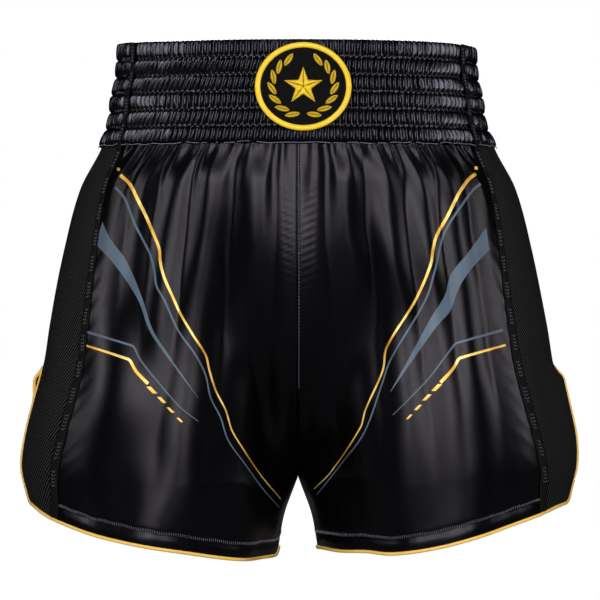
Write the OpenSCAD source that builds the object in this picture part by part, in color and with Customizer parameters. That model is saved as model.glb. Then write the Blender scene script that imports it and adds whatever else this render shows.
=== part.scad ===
// Boxing shorts with a shirred elastic waistband, satin panels, mesh sides and bound side slits.
// The origin is the centre of the waist opening, level with the waistband's top edge. +Z is up, the
// front faces -Y and the wearer's left side is +X. The shorts hang as worn. Lengths are millimetres.

/* [Waistband] */
// Width of the waistband at its top edge, side to side
waist_width = 287; // [260:1:320]
// Depth of the waistband at its top edge, front to back
waist_depth = 198; // [170:1:220]
// Height of one channel
channel_height = 13.4; // [11:0.2:14]
// How far the gathered cloth of a channel stands out between its stitch lines
channel_bulge = 1.2; // [0.4:0.2:2]

/* [Body and legs] */
// Width across the hips
hip_width = 374; // [350:1:400]
// Depth through the hips
hip_depth = 232; // [210:1:250]
// Width across both legs at the thigh, where the flaps flare most
thigh_width = 440; // [420:1:460]
// Depth of a leg opening, front to back
leg_depth = 224; // [200:1:240]
// From the waistband's top edge down to the crotch
rise = 344; // [330:1:360]
// Length at the side, from the top edge to the hem
side_length = 362; // [355:1:380]
// How much lower the hem is at the inner leg than at the side
hem_dip = 42; // [25:1:50]
// Half of the gap between the legs at the hem
leg_gap = 16; // [10:1:24]
// From the waistband's top edge to the top of the side slits
slit_top = 254; // [240:1:290]
// Width of a side slit at the hem
slit_width = 16; // [8:1:30]

/* [Trim] */
// Width of the woven tape over each side seam
tape_width = 6.6; // [5:0.2:10]
// Diameter of the binding on hems and slits
binding_diameter = 2.6; // [2:0.1:3.5]
// Width of the stitched-down seam allowances inside
allowance_width = 11; // [6:1:14]
// Width of the patch on the front of the waistband
patch_width = 73; // [60:1:78]
// Height of the patch
patch_height = 69; // [56:1:74]
// Width of the overlocked border of the patch
border_width = 4; // [3:0.5:6]
// Sideways place of the patch's centre
patch_shift = 4; // [-5:1:5]

/* [Hidden] */

// Each stitched channel of the waistband holds one elastic band, and each band is a node
channel_count = 6;
band_height = channel_count * channel_height;
body_top = band_height + 0.6;

// Thicknesses of a panel, of one layer of the casing, and of the trims
cloth = 0.8;
ply = 0.6;
elastic_thickness = 1.2;
tape_thickness = 0.7;
label_thickness = 0.5;
backing_thickness = 1.0;

// Free space between pieces that touch in the sewn shorts
clearance = 0.4;
casing_gap = 1.2;
casing_outside = casing_gap + ply + channel_bulge;
stitch_margin = 1.6;

// Lengths round half of the body and round one leg, which s covers from 0 to 1
half_girth = 500;
leg_girth = 660;
seam_s = 0.0007;

corner_radius = 15;
inseam_lift = 5;
inseam_reach = 26;
binding_radius = binding_diameter / 2;

star_radius = 15;
star_notch = 6.2;
laurel_radius = 23.5;
leaf_half_length = 5.4;
leaf_half_width = 1.9;
leaf_turn = 22;
leaf_lean = 62;
label_width = 28;
label_height = 32;
label_top = 46;

satin = [0.15, 0.14, 0.16];
mesh_black = [0.08, 0.08, 0.08];
gold = [0.94, 0.75, 0.25];

// The cross-section changes with the drop, the distance below the waistband's top edge. Each list
// holds [drop, value] stations that a smooth curve joins.
half_widths = [
    [0, waist_width / 2], [2 * channel_height, waist_width / 2 + 1.5],
    [3 * channel_height, waist_width / 2 + 5], [4.2 * channel_height, waist_width / 2 + 6.5],
    [band_height, waist_width / 2 + 13.5], [band_height + 33, hip_width / 2 - 13],
    [162, hip_width / 2], [222, hip_width / 2 + 12], [slit_top, hip_width / 2 + 17],
    [312, thigh_width / 2 - 3], [336, thigh_width / 2], [side_length, thigh_width / 2 - 5],
    [side_length + 50, thigh_width / 2 - 10]
];
half_depths = [
    [0, waist_depth / 2], [3 * channel_height, waist_depth / 2 + 3], [band_height, waist_depth / 2 + 8],
    [180, hip_depth / 2], [280, hip_depth / 2 + 3], [side_length + 50, leg_depth / 2]
];
crotch_gap = 1.4;
inner_gaps = [
    [rise, crotch_gap], [rise + 26, 10], [rise + 45, leg_gap - 2], [rise + 62, leg_gap], [rise + 86, leg_gap]
];

function hermite(t, span, y0, y1, m0, m1) =
    (2 * t ^ 3 - 3 * t ^ 2 + 1) * y0 + (t ^ 3 - 2 * t ^ 2 + t) * span * m0
    + (3 * t ^ 2 - 2 * t ^ 3) * y1 + (t ^ 3 - t ^ 2) * span * m1;

function rate(stations, i, j) = (stations[j][1] - stations[i][1]) / (stations[j][0] - stations[i][0]);

function along(stations, x) =
    let (last = len(stations) - 1,
         i = max([for (k = [0 : last - 1]) if (k == 0 || x >= stations[k][0]) k]),
         span = stations[i + 1][0] - stations[i][0],
         t = min(1, max(0, (x - stations[i][0]) / span)))
    hermite(t, span, stations[i][1], stations[i + 1][1],
            rate(stations, max(0, i - 1), i + 1), rate(stations, i, min(last, i + 2)));

function bezier(t, p) =
    (1 - t) ^ 3 * p[0] + 3 * (1 - t) ^ 2 * t * p[1] + 3 * (1 - t) * t ^ 2 * p[2] + t ^ 3 * p[3];

// How far the section has turned from one hip oval into two leg ovals: 0 above, 1 from the crotch
// down. The centre seam turns under late and sharply, the rest of the leg takes shape gradually.
turning_reach = 0.22;
function split_at(s, drop) =
    let (t = min(1, max(0, (drop - band_height) / (rise - band_height))),
         seam_near = 1 - smooth_step(min(abs(s), abs(1 - s)) / turning_reach))
    seam_near * (1 - sqrt(1 - t ^ 3)) + (1 - seam_near) * smooth_step(t);

function smooth_step(x) = let (t = min(1, max(0, x))) t * t * (3 - 2 * t);

// The left half of the skin. s runs round it, 0 at the centre front, 0.5 at the side, 1 at the back.
function skin(s, drop) =
    let (w = split_at(s, drop), width = along(half_widths, drop), depth = along(half_depths, drop),
         inner = drop < rise ? w * crotch_gap : along(inner_gaps, drop),
         radius = (width - inner) / 2, centre = (width + inner) / 2)
    [(1 - w) * width * sin(180 * s) + w * (centre - radius * cos(360 * s)),
     -(1 - w) * depth * cos(180 * s) - w * leg_depth / 2 * sin(360 * s),
     -drop];

function unit(v) = v / norm(v);

function outward(s, drop) =
    let (step = 0.002, reach = 1)
    unit(cross(skin(s, drop + reach) - skin(s, drop - reach), skin(s + step, drop) - skin(s - step, drop)));

function on_skin(s, drop, offset) = skin(s, drop) + offset * outward(s, drop);

// A point at a given x on the front or back of the waistband, on either half
function on_band(x, drop, offset, back = false) =
    let (s = asin(abs(x) / along(half_widths, drop)) / 180,
         p = on_skin(max(back ? 1 - s : s, 0), drop, offset))
    [x < 0 ? -p[0] : p[0], p[1], p[2]];

// The hem dips towards the inner leg, with a rounded corner at the slit and a soft one at the inseam
dip_reach = 0.42;
function hem_drop(s) =
    let (from_side = abs(s - 0.5), from_slit = (from_side - slit_s(side_length)) * leg_girth,
         from_inseam = min(abs(s), abs(1 - s)) * leg_girth,
         round_off = max(0, 1 - max(0, from_slit) / corner_radius),
         lift = inseam_lift * max(0, 1 - from_inseam / inseam_reach) ^ 2,
         dip = hem_dip * (1 - cos(180 * min(1, from_side / dip_reach))) / 2)
    side_length + dip - lift - corner_radius * (1 - sqrt(1 - round_off ^ 2));

// The tape's place round the skin, and half of the slit's opening, at each drop
tape_places = [0.343, 0.322, 0.372, 0.396];
tape_run = 310;
function tape_s(drop) = bezier(min(1, max(0, (drop - band_height) / tape_run)), tape_places);
function slit_s(drop) =
    seam_s + max(0, drop - slit_top) / (side_length - slit_top) * slit_width / 2 / leg_girth;

// A closed solid between an outer and an inner grid of points, given as rows of equal length
module quilt(outer, inner) {
    rows = len(outer);
    cols = len(outer[0]);
    count = rows * cols;
    points = [for (grid = [outer, inner]) for (row = grid) for (p = row) p];
    function at(i, j) = i * cols + j;
    skin_faces = [for (i = [0 : rows - 2]) for (j = [0 : cols - 2])
        for (f = [[at(i, j), at(i + 1, j + 1), at(i + 1, j)], [at(i, j), at(i, j + 1), at(i + 1, j + 1)]]) f];
    rim = concat([for (j = [0 : cols - 2]) at(0, j)], [for (i = [0 : rows - 2]) at(i, cols - 1)],
                 [for (j = [cols - 1 : -1 : 1]) at(rows - 1, j)], [for (i = [rows - 1 : -1 : 1]) at(i, 0)]);
    rim_faces = [for (k = [0 : len(rim) - 1]) let (a = rim[k], b = rim[(k + 1) % len(rim)])
        for (f = [[a, b + count, b], [a, a + count, b + count]]) f];
    polyhedron(points, concat(skin_faces, [for (f = skin_faces) [f[2] + count, f[1] + count, f[0] + count]],
                              rim_faces));
}

// A closed solid swept through rings of equal length, capped at both ends or joined into a loop
module sweep(rings, loop = false) {
    turns = len(rings);
    sides = len(rings[0]);
    function at(i, j) = (i % turns) * sides + j % sides;
    walls = [for (i = [0 : turns - (loop ? 1 : 2)]) for (j = [0 : sides - 1])
        for (f = [[at(i, j), at(i, j + 1), at(i + 1, j + 1)], [at(i, j), at(i + 1, j + 1), at(i + 1, j)]]) f];
    caps = loop ? [] : [[for (j = [sides - 1 : -1 : 0]) j], [for (j = [0 : sides - 1]) at(turns - 1, j)]];
    polyhedron([for (ring = rings) for (p = ring) p], concat(walls, caps));
}

// A panel of the left half between two edges, each a function giving s at a drop
module panel(first_edge, second_edge, top, cols, rows, low, high) {
    function place(u, t, offset) =
        let (s_end = (1 - u) * first_edge(side_length) + u * second_edge(side_length),
             drop = top + (hem_drop(s_end) - top) * t)
        on_skin((1 - u) * first_edge(drop) + u * second_edge(drop), drop, offset);
    quilt([for (i = [0 : rows]) [for (j = [0 : cols]) place(j / cols, i / rows, high)]],
          [for (i = [0 : rows]) [for (j = [0 : cols]) place(j / cols, i / rows, low)]]);
}

front_edge = function (drop) seam_s;
tape_edge = function (drop) tape_s(drop) - seam_s / 2;
mesh_edge = function (drop) tape_s(drop) + seam_s / 2;
slit_edge = function (drop) 0.5 - slit_s(drop);
mirrored = function (edge) function (drop) 1 - edge(drop);

module satin_panel(back) {
    if (back)
        panel(mirrored(tape_edge), mirrored(front_edge), body_top, 13, 24, -cloth / 2, cloth / 2);
    else
        panel(front_edge, tape_edge, body_top, 13, 24, -cloth / 2, cloth / 2);
}

module mesh_panel(back) {
    if (back)
        panel(mirrored(slit_edge), mirrored(mesh_edge), body_top, 7, 20, -cloth / 2, cloth / 2);
    else
        panel(mesh_edge, slit_edge, body_top, 7, 20, -cloth / 2, cloth / 2);
}

// The tape lies on the casing above and on the panels below, and ends above the hem's binding
module side_tape(back) {
    steps = 34;
    top = 0.5;
    bottom = hem_drop(tape_places[3]) - binding_diameter - 2.6;
    drops = [for (i = [0 : steps]) top + (bottom - top) * i / steps];
    step_down = 9;
    function lift(drop) =
        let (t = min(1, max(0, (drop - band_height + 1) / step_down)))
        (1 - t) * casing_outside + t * cloth / 2 + clearance;
    function across(drop, side) =
        let (half = side * tape_width / 2 / half_girth) back ? 1 - tape_s(drop) - half : tape_s(drop) + half;
    function edge_points(high) = [for (drop = drops) [for (side = back ? [1, -1] : [-1, 1])
        on_skin(across(drop, side), drop, lift(drop) + high)]];
    quilt(edge_points(tape_thickness), edge_points(0));
}

// The casing folds over at the top: an outer wall bulging between the stitch lines, and an inner wall.
// Its section lies between two chains of [drop, offset] points, one outside and one in the gap.
channel_steps = 2 * channel_count;
inner_steps = 6;
fold = 1.2;
outer_chain = concat(
    [for (i = [channel_steps : -1 : 0]) [i / 2 * channel_height, casing_gap + ply + (i % 2) * channel_bulge]],
    [for (i = [0 : inner_steps]) [band_height * i / inner_steps, -casing_gap - ply]]
);
inner_chain = concat(
    [for (i = [channel_steps : -1 : 0]) [fold + (band_height - fold) * i / channel_steps, casing_gap]],
    [for (i = [0 : inner_steps]) [fold + (band_height - fold) * i / inner_steps, -casing_gap]]
);

function signed_skin(a, drop, offset) =
    let (p = on_skin(abs(a), drop, offset)) [a < 0 ? -p[0] : p[0], p[1], p[2]];

module casing(from, to, steps) {
    n = len(outer_chain);
    sides = 2 * n;
    section = concat(outer_chain, [for (i = [n - 1 : -1 : 0]) inner_chain[i]]);
    function at(i, j) = i * sides + j % sides;
    walls = [for (i = [0 : steps - 1]) for (j = [0 : sides - 1])
        for (f = [[at(i, j), at(i, j + 1), at(i + 1, j + 1)], [at(i, j), at(i + 1, j + 1), at(i + 1, j)]]) f];
    cap = [for (k = [0 : n - 2])
        for (f = [[k, sides - 1 - k, k + 1], [k + 1, sides - 1 - k, sides - 2 - k]]) f];
    polyhedron([for (i = [0 : steps]) let (a = from + (to - from) * i / steps)
                    for (q = section) signed_skin(a, q[0], q[1])],
               concat(walls, cap, [for (f = cap) [at(steps, f[2]), at(steps, f[1]), at(steps, f[0])]]));
}

module elastic(index) {
    top = index * channel_height + stitch_margin + (index == 0 ? 1 : 0);
    bottom = (index + 1) * channel_height - stitch_margin;
    half = elastic_thickness / 2;
    corners = [[top, -half], [bottom, -half], [bottom, half], [top, half]];
    steps = 44;
    sweep([for (i = [0 : steps - 1]) [for (c = corners) signed_skin(2 * i / steps - 1, c[0], c[1])]],
          loop = true);
}

// One binding runs down the front slit edge, along the hem and up the back slit edge, as a bead on
// the outer face just inside the edge. The leg's front and back are alike, so y only changes sign.
bead_offset = cloth / 2 + clearance + binding_radius;
slit_bead = let (steps = 12, high = slit_top + 4, low = side_length - corner_radius)
    [for (i = [0 : steps]) let (drop = high + (low - high) * i / steps)
        on_skin(0.5 - slit_s(drop) - binding_radius / leg_girth, drop, bead_offset)];
corner_bead = let (steps = 6, reach = corner_radius - binding_radius)
    [for (i = [0 : steps]) let (angle = 90 * (i + 0.5) / (steps + 1))
        on_skin(0.5 - slit_s(side_length) - (corner_radius - reach * cos(angle)) / leg_girth,
                side_length - corner_radius + reach * sin(angle), bead_offset)];
hem_bead = let (steps = 40, corner_s = 0.476)
    [for (i = [0 : steps]) let (s = corner_s * (1 - i / steps))
        on_skin(s, hem_drop(s) - binding_radius, bead_offset)];
front_bead = concat(slit_bead, corner_bead, hem_bead);
binding_path = concat(front_bead, [for (i = [len(front_bead) - 2 : -1 : 0])
    [front_bead[i][0], -front_bead[i][1], front_bead[i][2]]]);

module leg_binding() {
    last = len(binding_path) - 1;
    sides = 8;
    sweep([for (i = [0 : last])
        let (run = unit(binding_path[min(i + 1, last)] - binding_path[max(i - 1, 0)]),
             p = binding_path[i], inward = unit(cross(run, [p[0] - thigh_width / 4, p[1], 0])),
             over = cross(run, inward))
        [for (j = [0 : sides - 1]) let (angle = -360 * j / sides)
            p + binding_radius * (cos(angle) * inward + sin(angle) * over)]]);
}

module seam_allowance(back) {
    steps = 20;
    top = body_top + 1;
    bottom = rise - 55;
    function rows(offset) = [for (i = [0 : steps]) [for (j = back ? [1, 0] : [0, 1])
        let (s = 0.004 + j * allowance_width / half_girth)
        on_skin(back ? 1 - s : s, top + (bottom - top) * i / steps, offset)]];
    quilt(rows(-cloth / 2 - 2 * clearance), rows(-cloth / 2 - 2 * clearance - ply));
}

// The inner side of one leg, where s passes through 0 from back to front
module inseam_allowance() {
    steps = 6;
    top = rise + 4;
    bottom = hem_drop(0) - 3;
    half_angle = allowance_width / leg_depth * 180 / PI;
    function place(hand, drop, offset) =
        let (inner = along(inner_gaps, drop), width = along(half_widths, drop),
             radius = (width - inner) / 2, angle = hand * half_angle)
        [inner + radius * (1 - cos(angle)) + offset, -leg_depth / 2 * sin(angle), -drop];
    function rows(offset) = [for (i = [0 : steps]) [for (hand = [-1, 1])
        place(hand, top + (bottom - top) * i / steps, offset)]];
    quilt(rows(cloth / 2 + 2 * clearance), rows(cloth / 2 + 2 * clearance + ply));
}

// The patch's pieces are mapped from flat places across and down from its centre onto the band
patch_drop = 37.7;
patch_base = casing_outside + clearance;
function on_patch(across, down, offset) =
    on_band(patch_shift + across, patch_drop + down, patch_base + offset);

module patch_disc(half_w, half_h) {
    cells = 12;
    low = 0.1;
    high = low + backing_thickness;
    function rows(offset) = [for (i = [0 : cells]) [for (j = [0 : cells])
        let (u = 2 * j / cells - 1, v = 2 * i / cells - 1)
        on_patch(half_w * u * sqrt(1 - v * v / 2), half_h * v * sqrt(1 - u * u / 2), offset)]];
    quilt(rows(high), rows(low));
}

module border_ring() {
    steps = 48;
    half_thickness = 0.9;
    section = [for (k = [0 : 7]) [cos(45 * k), -sin(45 * k)]];
    sweep([for (i = [0 : steps - 1]) let (angle = 360 * i / steps)
        [for (q = section) let (inset = border_width / 2 * (1 - q[0]))
            on_patch((patch_width / 2 - inset) * cos(angle), (patch_height / 2 - inset) * sin(angle),
                     half_thickness * (1 + q[1]))]], loop = true);
}

// A flat outline of [across, down] points round a centre, raised into a solid that follows the band
module embroidered(centre, outline, height) {
    n = len(outline);
    low = backing_thickness + 0.4;
    high = low + height;
    faces = [for (k = [0 : n - 1]) [(k + 1) % n, k, n]];
    layer = concat(outline, [centre]);
    walls = [for (k = [0 : n - 1]) let (m = (k + 1) % n)
        for (f = [[k, m, k + n + 1], [m, m + n + 1, k + n + 1]]) f];
    polyhedron([for (offset = [high, low]) for (p = layer) on_patch(p[0], p[1], offset)],
               concat(faces, walls, [for (f = faces) [f[2] + n + 1, f[1] + n + 1, f[0] + n + 1]]));
}

module star() {
    outline = [for (k = [0 : 9]) let (r = k % 2 == 0 ? star_radius : star_notch)
        [-r * sin(36 * k), -r * cos(36 * k)]];
    embroidered([0, 0], outline, 0.8);
}

module laurel() {
    for (side = [-1, 1]) for (k = [0 : 6]) {
        turn = side * (180 - leaf_turn * (k + 0.9));
        middle = laurel_radius * [sin(turn), -cos(turn)];
        lean = turn - side * leaf_lean;
        outline = [for (j = [0 : 7])
            let (a = 45 * j, reach = leaf_half_length * cos(a), wide = leaf_half_width * sin(a))
            middle + [reach * sin(lean) - wide * cos(lean), -reach * cos(lean) - wide * sin(lean)]];
        embroidered(middle, outline, 0.7);
    }
}

module label() {
    cells = 4;
    outside = -casing_gap - ply - clearance;
    function rows(offset) = [for (i = [0 : cells]) [for (j = [0 : cells])
        on_band(label_width * (0.5 - j / cells), label_top + label_height * i / cells, offset, back = true)]];
    quilt(rows(outside), rows(outside - label_thickness));
}

module right_side() { mirror([1, 0, 0]) children(); }

tape_top_s = tape_s(0);
section_gap = 0.001;
module waistband_front() { color(satin) casing(section_gap - tape_top_s, tape_top_s - section_gap, 15); }
module waistband_left() { color(satin) casing(tape_top_s + section_gap, 1 - tape_top_s - section_gap, 6); }
module waistband_right() { color(satin) right_side() waistband_left(); }
module waistband_back() {
    color(satin) mirror([0, 1, 0]) casing(section_gap - tape_top_s, tape_top_s - section_gap, 15);
}
module elastic_band(index) { color("white") elastic(index - 1); }
module front_left_panel() { color(satin) satin_panel(back = false); }
module front_right_panel() { color(satin) right_side() satin_panel(back = false); }
module back_left_panel() { color(satin) satin_panel(back = true); }
module back_right_panel() { color(satin) right_side() satin_panel(back = true); }
module left_front_mesh() { color(mesh_black) mesh_panel(back = false); }
module left_back_mesh() { color(mesh_black) mesh_panel(back = true); }
module right_front_mesh() { color(mesh_black) right_side() mesh_panel(back = false); }
module right_back_mesh() { color(mesh_black) right_side() mesh_panel(back = true); }
module left_front_tape() { color("black") side_tape(back = false); }
module left_back_tape() { color("black") side_tape(back = true); }
module right_front_tape() { color("black") right_side() side_tape(back = false); }
module right_back_tape() { color("black") right_side() side_tape(back = true); }
module left_leg_binding() { color(gold) leg_binding(); }
module right_leg_binding() { color(gold) right_side() leg_binding(); }
module front_seam_allowance() { color(satin) seam_allowance(back = false); }
module back_seam_allowance() { color(satin) seam_allowance(back = true); }
module left_inseam_allowance() { color(satin) inseam_allowance(); }
module right_inseam_allowance() { color(satin) right_side() inseam_allowance(); }
module patch_backing() {
    inset = border_width + clearance;
    color("black") patch_disc(patch_width / 2 - inset, patch_height / 2 - inset);
}
module patch_border() { color(gold) border_ring(); }
module patch_star() { color(gold) star(); }
module patch_laurel() { color(gold) laurel(); }
module size_label() { color("white") label(); }

waistband_front();
waistband_back();
waistband_left();
waistband_right();
elastic_band(1);  // elastic_band_1
elastic_band(2);  // elastic_band_2
elastic_band(3);  // elastic_band_3
elastic_band(4);  // elastic_band_4
elastic_band(5);  // elastic_band_5
elastic_band(6);  // elastic_band_6
front_left_panel();
front_right_panel();
back_left_panel();
back_right_panel();
left_front_mesh();
left_back_mesh();
right_front_mesh();
right_back_mesh();
left_front_tape();
left_back_tape();
right_front_tape();
right_back_tape();
left_leg_binding();
right_leg_binding();
front_seam_allowance();
back_seam_allowance();
left_inseam_allowance();
right_inseam_allowance();
patch_backing();
patch_border();
patch_star();
patch_laurel();
size_label();
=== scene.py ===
"""Boxing shorts: the cloth, trims, prints and light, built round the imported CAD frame."""
import math
from collections import namedtuple

import bpy
import numpy as np
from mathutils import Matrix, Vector
from mathutils.bvhtree import BVHTree


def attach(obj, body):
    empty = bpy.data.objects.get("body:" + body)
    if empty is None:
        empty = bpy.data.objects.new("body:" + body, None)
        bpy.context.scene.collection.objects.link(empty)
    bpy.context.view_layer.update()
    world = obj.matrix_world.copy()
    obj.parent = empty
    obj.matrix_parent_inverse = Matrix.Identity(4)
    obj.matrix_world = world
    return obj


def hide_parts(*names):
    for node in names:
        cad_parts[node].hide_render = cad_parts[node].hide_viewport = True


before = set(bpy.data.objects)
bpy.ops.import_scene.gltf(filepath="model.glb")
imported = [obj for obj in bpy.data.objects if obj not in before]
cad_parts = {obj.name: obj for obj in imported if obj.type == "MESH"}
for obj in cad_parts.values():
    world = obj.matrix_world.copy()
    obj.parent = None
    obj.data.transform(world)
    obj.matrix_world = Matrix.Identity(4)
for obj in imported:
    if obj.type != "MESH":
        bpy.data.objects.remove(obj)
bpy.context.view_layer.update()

MM = 0.001

# ---------------------------------------------------------------- camera
# The camera stands in front, a little above the middle of the shorts, with a long lens.
VIEW_DISTANCE = 3000.0
VIEW_X = 1.6
VIEW_Z = -202.0
FRAME_WIDTH = 480.0
SENSOR = 36.0

camera_data = bpy.data.cameras.new("camera")
camera_data.sensor_width = SENSOR
camera_data.lens = SENSOR * VIEW_DISTANCE / FRAME_WIDTH
camera = bpy.data.objects.new("camera", camera_data)
camera.location = (VIEW_X * MM, -VIEW_DISTANCE * MM, VIEW_Z * MM)
camera.rotation_euler = (math.pi / 2, 0, 0)
bpy.context.scene.collection.objects.link(camera)
bpy.context.scene.camera = camera

# ---------------------------------------------------------------- sizes, as in the CAD, in mm
WAIST_WIDTH = 287.0
WAIST_DEPTH = 198.0
CHANNELS = 6
CHANNEL = 13.4
BAND = CHANNELS * CHANNEL
HIP_WIDTH = 374.0
HIP_DEPTH = 232.0
THIGH_WIDTH = 440.0
LEG_DEPTH = 224.0
RISE = 344.0
SIDE_LENGTH = 362.0
HEM_DIP = 42.0
LEG_GAP = 16.0
SLIT_TOP = 254.0
SLIT_WIDTH = 16.0
CORNER = 15.0
TAPE_WIDTH = 6.6
BINDING = 2.7
PATCH_WIDTH = 73.0
PATCH_HEIGHT = 69.0
PATCH_SHIFT = 4.0
PATCH_DROP = 37.7
CASING_GAP = 1.2
CASING_FACE = 1.8
BAND_ARC = 435.0
LEG_GIRTH = 660.0
HALF_GIRTH = 500.0
INSEAM_LIFT = 5.0
INSEAM_REACH = 26.0
SOFT = 0.25
BODY_TOP = BAND - 0.6
SIDE_NAMES = {-1: "right", 1: "left"}

HALF_WIDTHS = np.array([
    (0, WAIST_WIDTH / 2), (2 * CHANNEL, WAIST_WIDTH / 2 + 1.5), (3 * CHANNEL, WAIST_WIDTH / 2 + 5),
    (4.2 * CHANNEL, WAIST_WIDTH / 2 + 6.5), (BAND, WAIST_WIDTH / 2 + 13.5),
    (BAND + 33, HIP_WIDTH / 2 - 13), (162, HIP_WIDTH / 2), (222, HIP_WIDTH / 2 + 12),
    (SLIT_TOP, HIP_WIDTH / 2 + 17), (312, THIGH_WIDTH / 2 - 3), (336, THIGH_WIDTH / 2),
    (SIDE_LENGTH, THIGH_WIDTH / 2 - 5), (SIDE_LENGTH + 50, THIGH_WIDTH / 2 - 10)])
HALF_DEPTHS = np.array([
    (0, WAIST_DEPTH / 2), (3 * CHANNEL, WAIST_DEPTH / 2 + 3), (BAND, WAIST_DEPTH / 2 + 8),
    (180, HIP_DEPTH / 2), (280, HIP_DEPTH / 2 + 3), (SIDE_LENGTH + 50, LEG_DEPTH / 2)])
INNER_GAPS = np.array([
    (RISE, 0), (RISE + 26, 10), (RISE + 45, LEG_GAP - 2), (RISE + 62, LEG_GAP), (430, LEG_GAP)])
# Places of the tape round the half, from the waist seam down to the hem, and the run between them
TAPE_PLACES = (0.343, 0.322, 0.372, 0.396)
TAPE_RUN = 310.0


# ---------------------------------------------------------------- the skin of the shorts
def along(stations, x):
    """A smooth curve through the stations' values, at x."""
    places, values = stations[:, 0], stations[:, 1]
    last = len(places) - 1
    i = np.clip(np.searchsorted(places, x, side="right") - 1, 0, last - 1)
    span = places[i + 1] - places[i]
    t = np.clip((x - places[i]) / span, 0, 1)
    before, after = np.maximum(i - 1, 0), np.minimum(i + 2, last)
    rate_0 = (values[i + 1] - values[before]) / (places[i + 1] - places[before])
    rate_1 = (values[after] - values[i]) / (places[after] - places[i])
    return ((2 * t**3 - 3 * t**2 + 1) * values[i] + (t**3 - 2 * t**2 + t) * span * rate_0
            + (3 * t**2 - 2 * t**3) * values[i + 1] + (t**3 - t**2) * span * rate_1)


def smooth(x):
    """0 below 0, 1 above 1 and a smooth rise between."""
    t = np.clip(x, 0, 1)
    return t * t * (3 - 2 * t)


def below(drop, start, reach):
    """0 above start, rising smoothly to 1 at reach mm below it."""
    return smooth((drop - start) / reach)


def bell(x, width):
    """1 at 0, falling away smoothly to both sides."""
    return np.exp(-(x / width)**2)


def unit(v):
    """The vectors scaled to length 1."""
    return v / np.maximum(np.linalg.norm(v, axis=-1, keepdims=True), 1e-9)


def lengths_along(points):
    """The distance run at each point of a path."""
    return np.concatenate([[0], np.cumsum(np.linalg.norm(np.diff(points, axis=0), axis=1))])


def skin(s, drop):
    """The left half without folds. s is 0 at the centre front, 0.5 at the side, 1 at the back."""
    t = np.clip((drop - BAND) / (RISE - BAND), 0, 1)
    seam_near = 1 - smooth(np.minimum(np.abs(s), np.abs(1 - s)) / 0.15)
    sharp = 1 - (np.sqrt(1 - t**3 + SOFT**2) - SOFT) / (np.sqrt(1 + SOFT**2) - SOFT)
    split = seam_near * sharp + (1 - seam_near) * smooth(t)
    width, depth = along(HALF_WIDTHS, drop), along(HALF_DEPTHS, drop)
    inner = np.where(drop < RISE, 0, along(INNER_GAPS, drop))
    radius, centre = (width - inner) / 2, (width + inner) / 2
    x = (1 - split) * width * np.sin(np.pi * s) + split * (centre - radius * np.cos(2 * np.pi * s))
    y = -(1 - split) * depth * np.cos(np.pi * s) - split * LEG_DEPTH / 2 * np.sin(2 * np.pi * s)
    return np.stack([x, y, -drop], axis=-1)


def facing(surface, s, drop, step=0.002, reach=1.0):
    """The outward normal of a surface of s and drop."""
    down = surface(s, drop + reach) - surface(s, drop - reach)
    across = surface(s + step, drop) - surface(s - step, drop)
    return unit(np.cross(down, across))


def tape_s(drop):
    """The tape's middle line, as s, along a smooth curve through its four control places."""
    t = np.clip((drop - BAND) / TAPE_RUN, 0, 1)
    a, b, c, d = TAPE_PLACES
    return (1 - t)**3 * a + 3 * (1 - t)**2 * t * b + 3 * (1 - t) * t**2 * c + t**3 * d


def slit_s(drop):
    """How far each edge of the open slit stands from the side, as s."""
    opening = np.clip((drop - SLIT_TOP) / (SIDE_LENGTH - SLIT_TOP), 0, 1.2)
    return opening * SLIT_WIDTH / 2 / LEG_GIRTH


def hem_drop(s):
    """The hem: lowest at the middle of the leg, rounded off at the slit, lifted at the inseam."""
    from_side = np.abs(s - 0.5)
    from_slit = (from_side - slit_s(np.array(SIDE_LENGTH))) * LEG_GIRTH
    round_off = np.clip(1 - np.maximum(0, from_slit) / CORNER, 0, 1)
    dip = HEM_DIP * (1 - np.cos(np.pi * np.minimum(1, from_side / 0.42))) / 2
    to_inseam = np.minimum(np.abs(s), np.abs(1 - s)) * LEG_GIRTH
    rise = INSEAM_LIFT * np.clip(1 - to_inseam / INSEAM_REACH, 0, 1)**2
    return SIDE_LENGTH + dip - rise - CORNER * (1 - np.sqrt(1 - round_off**2))


# ---------------------------------------------------------------- folds
def ripple(a, b, wavelength, seed):
    """Smooth seeded noise from -1 to 1 over two lengths in mm."""
    rng = np.random.default_rng(seed)
    total = 0
    for _ in range(7):
        angle, phase = rng.uniform(0, 2 * np.pi, 2)
        scale = 2 * np.pi / wavelength * rng.uniform(0.6, 1.6)
        total = total + np.sin(scale * (a * np.cos(angle) + b * np.sin(angle)) + phase)
    return total / 4


Wave = namedtuple("Wave", "height length seed")


def waves(wave, a, b, side):
    """A wave's noise over two lengths, different on each half."""
    return wave.height * ripple(a, b, wave.length, wave.seed + side)


# Crest lines of the main folds on the front of each leg: distance from the centre at the waist
# seam, half way down and at the hem, height, and the drop at which the crest has faded out.
CRESTS = {
    -1: [(8, 9, 14, 2.6, 250), (31, 39, 46, 7.0, 420), (64, 80, 94, 7.4, 400),
         (91, 109, 124, 5.2, 300), (114, 131, 150, 3.2, 240), (135, 152, 172, 2.4, 210)],
    1: [(10, 13, 18, 2.6, 250), (35, 43, 50, 7.0, 420), (62, 77, 88, 7.2, 400),
        (89, 108, 122, 5.6, 320), (113, 132, 146, 4.4, 400), (134, 155, 172, 2.4, 210)],
}
BACK_CRESTS = [(12, 16, 20, 3.4, 300), (38, 48, 56, 6.0, 400), (66, 84, 96, 6.4, 380),
               (92, 114, 132, 6.0, 360), (118, 142, 160, 5.0, 300), (136, 158, 180, 3.6, 260)]
CREST_BLEND = 3.0        # the higher, the sharper the valley between two crests
CREST_REACH = 0.60       # how far a crest spreads, as a share of the way to the next one
CREST_CURVE = 1.6
FIRST_REACH = 12.0
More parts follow.
